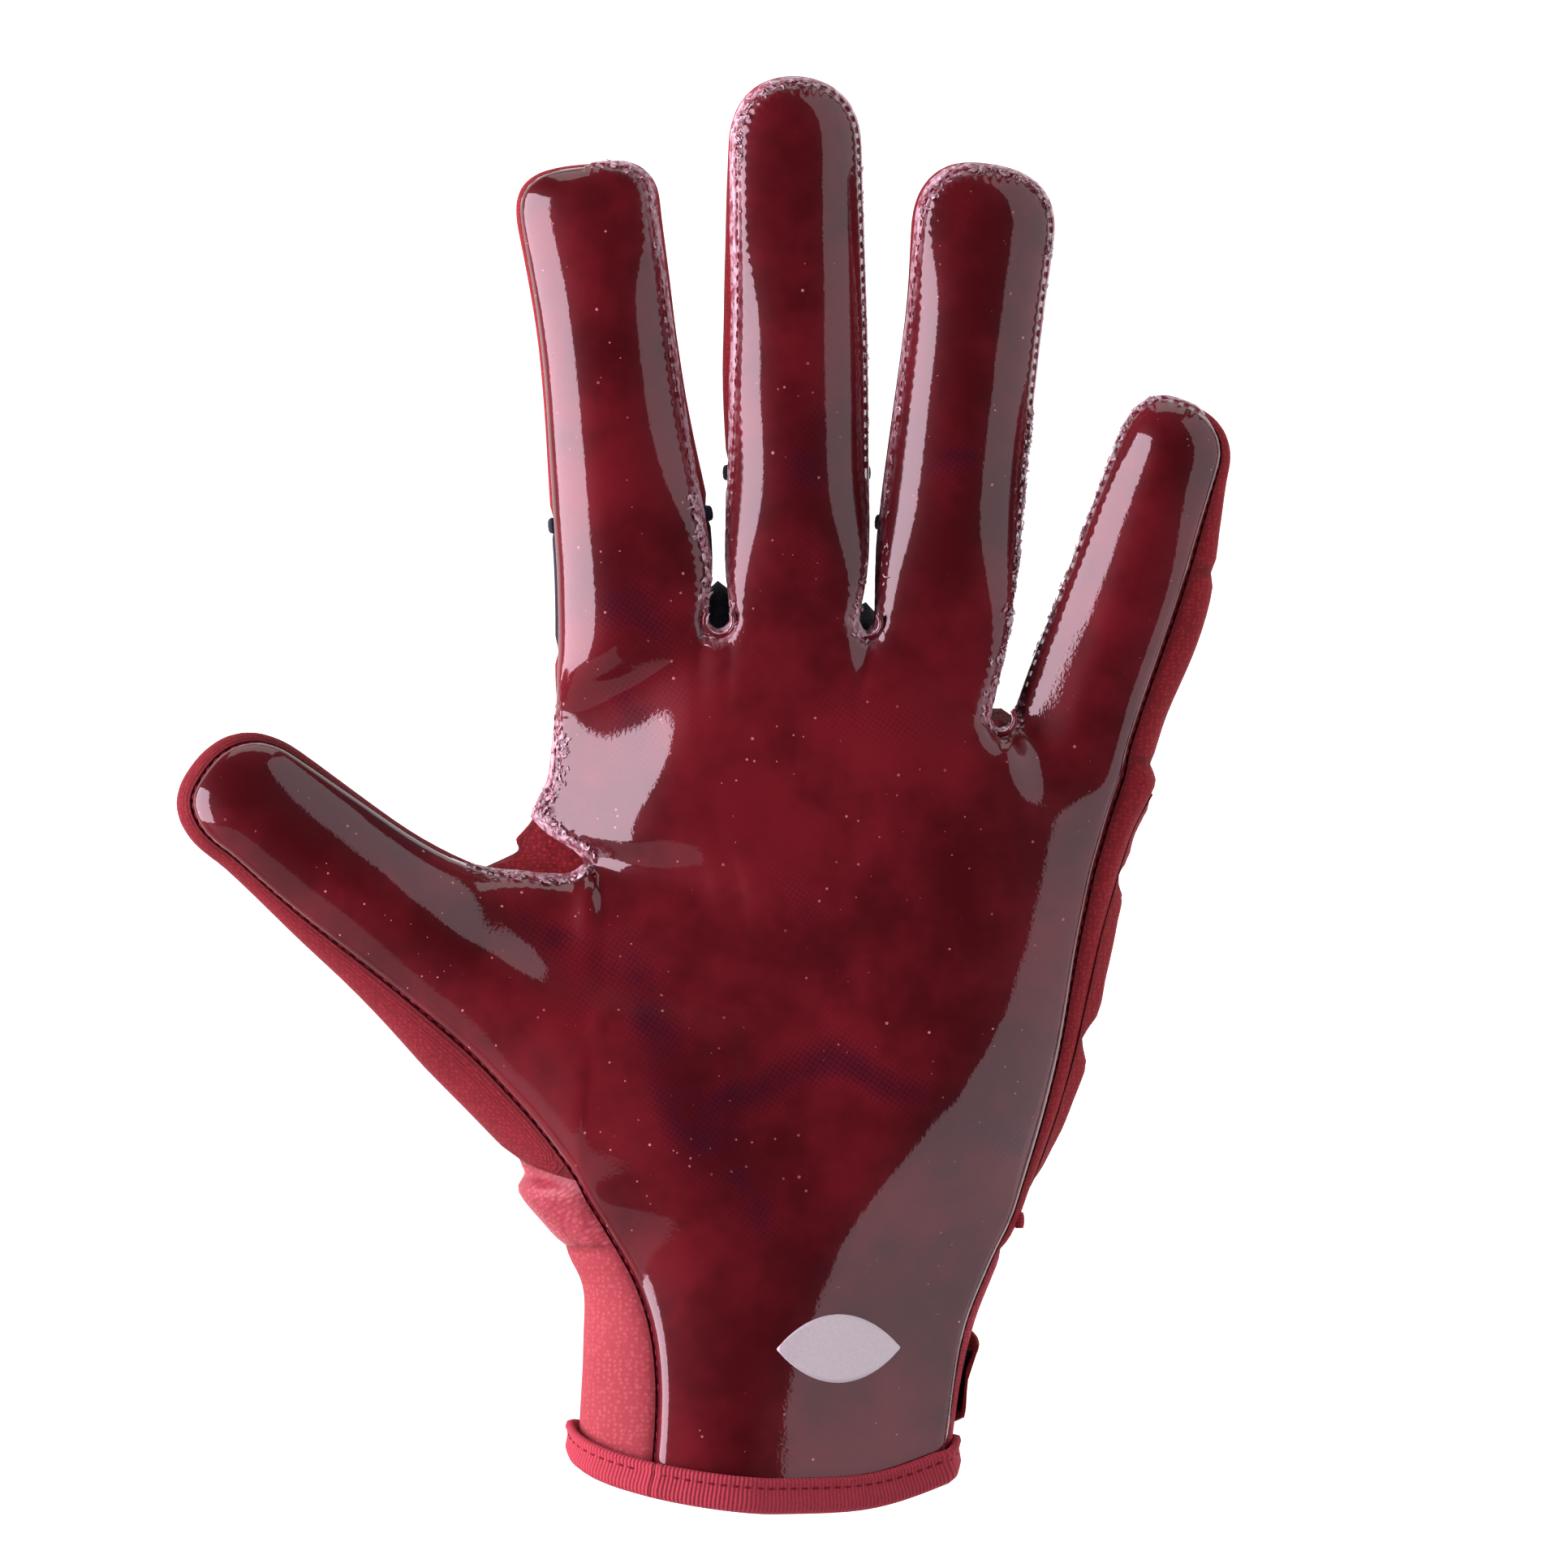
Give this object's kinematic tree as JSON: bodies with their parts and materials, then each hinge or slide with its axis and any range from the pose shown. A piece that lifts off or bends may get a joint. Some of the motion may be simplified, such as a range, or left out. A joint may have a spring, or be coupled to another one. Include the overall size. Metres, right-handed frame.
{
  "type": "football receiver glove",
  "caption": "Left-hand receiver glove held in the form of an open hand: glossy film palm, stretch cloth back, keyhole finger slots, bound cuff and a wrist strap",
  "frame": {"origin": "the middle of the cuff's open mouth, level with the lowest point of its binding", "axes": "+Z from the cuff to the fingertips, the palm faces -Y, the thumb points to -X"},
  "size_m": [0.1725, 0.0429, 0.2351],
  "materials": {
    "film": "glossy dark red film over mesh",
    "cloth": "matt red stretch cloth",
    "dark_cloth": "matt navy stretch cloth",
    "satin": "gathered pink-red satin",
    "rib": "ribbed knit",
    "hook": "black hook pad",
    "mark": "white transfer"
  },
  "bodies": {
    "root": {"palm_sheet": "film", "index_back": "cloth", "middle_back": "cloth", "ring_back": "cloth", "little_back": "cloth", "index_knuckle": "dark_cloth", "middle_knuckle": "dark_cloth", "ring_knuckle": "dark_cloth", "little_knuckle": "dark_cloth", "thumb_back": "cloth", "thumb_web": "cloth", "gusset_index_middle": "dark_cloth", "gusset_middle_ring": "dark_cloth", "gusset_ring_little": "dark_cloth", "satin_tab": "satin", "wrist_knit": "cloth", "rib_side": "rib", "back_panel": "cloth", "side_pad_1": "cloth", "side_pad_2": "cloth", "side_pad_3": "cloth", "cuff_binding": "rib", "wrist_strap": "cloth", "strap_hook": "hook", "palm_badge": "mark", "seam_tag": "rib"}
  },
  "joints": []
}
